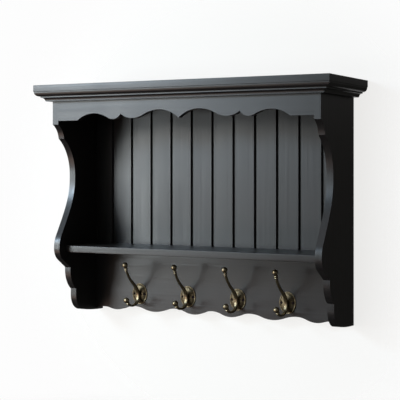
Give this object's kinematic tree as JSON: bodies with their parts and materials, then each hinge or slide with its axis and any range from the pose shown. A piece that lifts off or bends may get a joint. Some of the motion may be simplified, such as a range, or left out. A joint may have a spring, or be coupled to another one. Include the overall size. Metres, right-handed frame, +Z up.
{
  "type": "wall display shelf with coat hooks",
  "caption": "Black painted wooden wall shelf with scrolled sides, a moulded cornice over a scalloped frieze, a boarded back and a waved rail of antique brass double coat hooks.",
  "frame": {"origin": "on the wall, midway between the two points that the wall screws hold, which is on the back face of the hanging batten, 43 mm below the top of the shelf", "axes": "+X to the right as seen from the front, +Y into the wall, +Z up"},
  "size_m": [0.861, 0.26, 0.6284],
  "materials": {
    "painted_wood": "satin black paint",
    "raw_wood": "bare softwood",
    "antique_brass": "antiqued, satin",
    "bronzed_steel": "bronzed dark",
    "steel": "zinc plated"
  },
  "bodies": {
    "root": {"back_board_01": "painted_wood", "back_board_02": "painted_wood", "back_board_03": "painted_wood", "back_board_04": "painted_wood", "back_board_05": "painted_wood", "back_board_06": "painted_wood", "back_board_07": "painted_wood", "back_board_08": "painted_wood", "back_board_09": "painted_wood", "back_board_10": "painted_wood", "back_board_11": "painted_wood", "back_board_12": "painted_wood", "carcass_dowels": "raw_wood", "cornice_brads": "steel", "cornice_front": "painted_wood", "cornice_left_return": "painted_wood", "cornice_right_return": "painted_wood", "frieze": "painted_wood", "glue_block_1": "raw_wood", "glue_block_2": "raw_wood", "glue_block_3": "raw_wood", "glue_block_4": "raw_wood", "hanging_batten": "raw_wood", "hook_1_arm": "antique_brass", "hook_1_backplate": "antique_brass", "hook_1_screw_left": "bronzed_steel", "hook_1_screw_right": "bronzed_steel", "hook_2_arm": "antique_brass", "hook_2_backplate": "antique_brass", "hook_2_screw_left": "bronzed_steel", "hook_2_screw_right": "bronzed_steel", "hook_3_arm": "antique_brass", "hook_3_backplate": "antique_brass", "hook_3_screw_left": "bronzed_steel", "hook_3_screw_right": "bronzed_steel", "hook_4_arm": "antique_brass", "hook_4_backplate": "antique_brass", "hook_4_screw_left": "bronzed_steel", "hook_4_screw_right": "bronzed_steel", "hook_rail": "painted_wood", "left_hanger_block": "raw_wood", "left_hanger_plate": "steel", "left_hanger_screw_lower": "steel", "left_hanger_screw_upper": "steel", "left_side": "painted_wood", "lining_pins_lower": "steel", "lining_pins_upper": "steel", "lower_batten": "raw_wood", "right_hanger_block": "raw_wood", "right_hanger_plate": "steel", "right_hanger_screw_lower": "steel", "right_hanger_screw_upper": "steel", "right_side": "painted_wood", "shelf_board": "painted_wood", "top_board": "painted_wood"}
  },
  "joints": []
}
